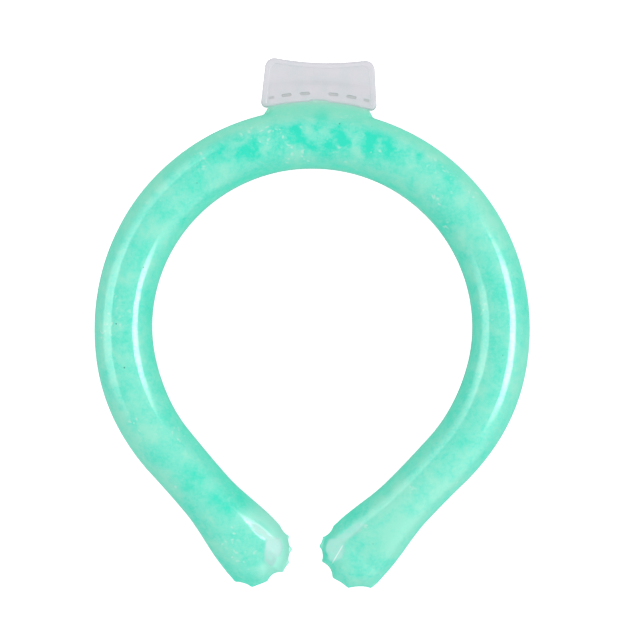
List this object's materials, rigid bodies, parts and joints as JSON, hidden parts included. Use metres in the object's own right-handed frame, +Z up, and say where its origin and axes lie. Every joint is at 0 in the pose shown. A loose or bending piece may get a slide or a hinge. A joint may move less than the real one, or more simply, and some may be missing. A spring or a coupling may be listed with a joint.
{
  "type": "cooling neck ring",
  "caption": "Soft filled neck ring bent to an open horseshoe, with scalloped welded tips and a frosted sealing tab at the nape.",
  "frame": {"origin": "middle of the footprint, on the surface that the ring lies on", "axes": "+Z up out of the ring's plane, +Y from the open mouth towards the sealing tab at the nape, +X to the right seen from above"},
  "size_m": [0.1636, 0.1992, 0.022],
  "materials": {
    "tube_skin": "glossy translucent mint soft plastic",
    "gel_core": "mottled mint gel, partly set to crystals",
    "seal_tab": "frosted clear soft plastic"
  },
  "bodies": {
    "root": {"tube_skin": "tube_skin", "gel_core": "gel_core", "seal_tab": "seal_tab"}
  },
  "joints": []
}
